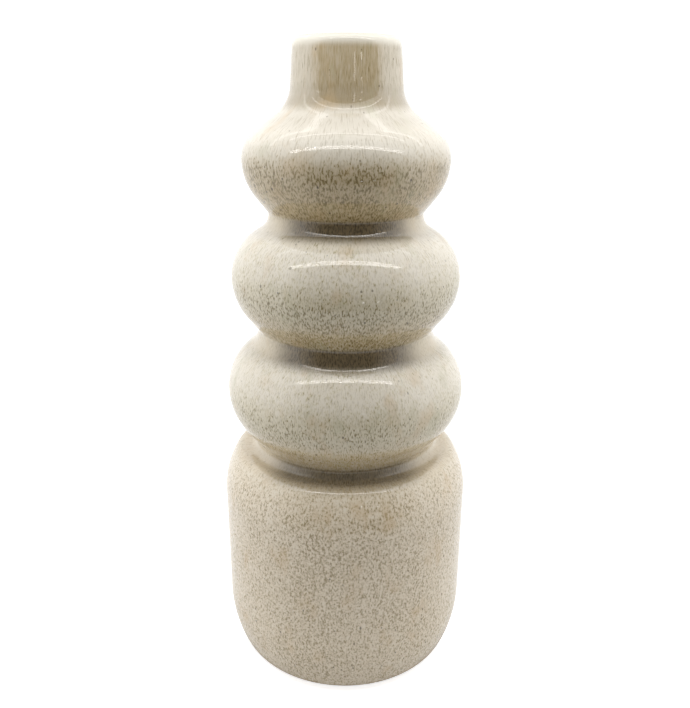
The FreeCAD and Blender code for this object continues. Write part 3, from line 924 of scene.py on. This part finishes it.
def emitter(name, vertices, faces, colour, strength):
    """A glowing mesh that lights and mirrors in the glaze but isn't seen by the camera.

    Its strength is one number, or a list with a number for each vertex.
    """
    mesh = bpy.data.meshes.new(name)
    mesh.from_pydata([Vector(v) * MM for v in vertices], [], faces)
    shader = Shader(name)
    if isinstance(strength, list):
        mesh.attributes.new("strength", "FLOAT", "POINT").data.foreach_set("value", strength)
        strength = shader.attribute("strength")
    shader.show(shader.glow(colour, strength))
    mesh.materials.append(shader.material)
    thing = put(name, mesh)
    thing.visible_camera = False
    thing.visible_shadow = False
    return thing


def level_light(name, half_width, near, far, height, strength):
    """A level rectangle of even light."""
    plan = ((-half_width, near), (half_width, near), (half_width, far), (-half_width, far))
    corners = [(x, y, height) for x, y in plan]
    return emitter(name, corners, [(0, 1, 2, 3)], WHITE, strength)


def upright_light(light):
    """An upright rectangle of even light, or of hardly any."""
    (left, right), (low, high) = light.across, light.heights
    corners = [(x, light.y, z) for x, z in ((left, low), (right, low), (right, high), (left, high))]
    return emitter(light.name, corners, [(0, 1, 2, 3)], light.colour, light.strength)


def lamp_strip(name, y, rows, strength):
    """Staggered rows of small square lamps under the ceiling, from side to side."""
    vertices, faces = [], []
    for row in range(rows):
        row_y = y + ROW_GAP * (row - (rows - 1) / 2)
        shift = LAMP_PITCH / 2 * (row % 2)
        for i in range(round(2 * STRIP_HALF / LAMP_PITCH)):
            x = -STRIP_HALF + LAMP_PITCH * (i + 0.25) + shift
            first = len(vertices)
            vertices += [(x + a * LAMP_HALF, row_y + b * LAMP_HALF, CEILING) for a, b in CORNER_SIGNS]
            faces.append((first, first + 1, first + 2, first + 3))
    return emitter(name, vertices, faces, WARM_WHITE, strength)


def front_opening():
    """The dark room seen through the tent's open front, from the floor up to the front strip of lamps.

    It brightens towards its sides, where the tent's walls begin.
    """
    vertices, strengths = [], []
    for i in range(OPENING_STEPS + 1):
        turn = OPENING_LEFT + (OPENING_RIGHT - OPENING_LEFT) * i / OPENING_STEPS
        edge = OPENING_RIGHT if turn > 0 else OPENING_LEFT
        strength = ROOM + (OPENING_EDGE - ROOM) * smooth_step(abs(turn), OPENING_DARK, abs(edge))
        angle = math.radians(turn)
        x, y = OPENING_RADIUS * math.sin(angle), -OPENING_RADIUS * math.cos(angle)
        near = (FRONT_STRIP - FRONT_STRIP_HALF) / y
        vertices += [(x, y, 0), (x, y, CEILING), (x * near, y * near, CEILING)]
        strengths += [strength] * 3
    faces = []
    for first in range(0, 3 * OPENING_STEPS, 3):
        faces += [(low, low + 3, low + 4, low + 1) for low in (first, first + 1)]
    return emitter("front_opening", vertices, faces, WARM_WHITE, strengths)


def light_tent():
    """The tent's lights. The strips and the neck's cards only mirror in the glaze."""
    near, far = MIDDLE_STRIP - MIDDLE_STRIP_HALF, MIDDLE_STRIP + MIDDLE_STRIP_HALF
    mirrored = [
        lamp_strip("front_strip", FRONT_STRIP, FRONT_STRIP_ROWS, FRONT_STRIP_STRENGTH),
        level_light("middle_strip", STRIP_HALF, near, far, CEILING, MIDDLE_STRIP_STRENGTH),
        *(upright_light(card) for card in NECK_CARDS),
        level_light("neck_line", NECK_STRIP_HALF, *NECK_STRIP, NECK_STRIP_HEIGHT, NECK_STRIP_STRENGTH),
    ]
    for light in mirrored:
        light.visible_diffuse = False
    near, far = FRONT_STRIP - FRONT_STRIP_HALF, 2 * CEILING_HALF
    level_light("ceiling", CEILING_HALF, near, far, CEILING + CEILING_GAP, CEILING_STRENGTH)
    front_opening()
    for glint in GLINTS:
        upright_light(glint)


def key_light():
    """The strips' light on the glaze: soft, from high up and a little before the vase."""
    data = bpy.data.lights.new("key", "SUN")
    data.energy = KEY_STRENGTH
    data.angle = math.radians(KEY_SPREAD)
    thing = put("key", data)
    thing.rotation_euler = (math.radians(90 - KEY_HEIGHT), 0, 0)
    thing.visible_glossy = False


def soft_surround():
    """Even white light from all round."""
    world = bpy.data.worlds.new("surround")
    bpy.context.scene.world = world
    world.use_nodes = True
    back = world.node_tree.nodes["Background"]
    back.inputs["Color"].default_value = WHITE
    back.inputs["Strength"].default_value = SURROUND_STRENGTH


def floor():
    """A pale floor that keeps the vase's shadow and is white to the camera."""
    mesh = bpy.data.meshes.new("floor")
    corners = [Vector((a * FLOOR_HALF, b * FLOOR_HALF, 0)) * MM for a, b in CORNER_SIGNS]
    mesh.from_pydata(corners, [], [(0, 1, 2, 3)])
    shader = Shader("floor")
    shader.set(Base_Color=FLOOR_GREY, Roughness=0.9)
    plain = shader.surface.outputs[0]
    lit = shader.add("ShaderNodeAddShader")
    shader.plug(lit.inputs[0], plain)
    shader.plug(lit.inputs[1], shader.glow(WHITE, FLOOR_GLOW))
    seen = shader.add("ShaderNodeMixShader")
    shader.plug(seen.inputs[0], shader.add("ShaderNodeLightPath").outputs["Is Camera Ray"])
    shader.plug(seen.inputs[1], plain)
    shader.plug(seen.inputs[2], lit.outputs[0])
    shader.show(seen.outputs[0])
    mesh.materials.append(shader.material)
    put("floor", mesh)


# The camera

CAMERA_DISTANCE = 341.8      # from the axis, level
CAMERA_HEIGHT = 275.5        # over the foot
CAMERA_TILT = 19.30          # degrees down
CAMERA_ROLL = 0.25           # degrees
FOCAL_PIXELS = 734.0         # focal length in pixels of the photograph
IMAGE_WIDTH = 690
SENSOR_WIDTH = 36.0
VASE_COLUMN = 345.5          # where the axis crosses the middle row


def camera():
    """The photograph's camera, straight before the vase and looking down on it."""
    data = bpy.data.cameras.new("camera")
    data.sensor_fit = "HORIZONTAL"
    data.sensor_width = SENSOR_WIDTH
    data.lens = FOCAL_PIXELS / IMAGE_WIDTH * SENSOR_WIDTH
    data.shift_x = (IMAGE_WIDTH / 2 - VASE_COLUMN) / IMAGE_WIDTH
    thing = put("camera", data)
    place = Vector((0.0, -CAMERA_DISTANCE, CAMERA_HEIGHT + FOOT)) * MM
    tilt = Matrix.Rotation(math.radians(90 - CAMERA_TILT), 4, "X")
    roll = Matrix.Rotation(math.radians(CAMERA_ROLL), 4, "Z")
    thing.matrix_world = Matrix.Translation(place) @ tilt @ roll
    bpy.context.scene.camera = thing


outside_coat()
inside_coat()
clay_shell()
felt_material = felt()
for pad in range(1, PADS + 1):
    felt_pad(pad, felt_material)

light_tent()
key_light()
soft_surround()
floor()
camera()
bpy.context.scene.view_settings.view_transform = "Standard"
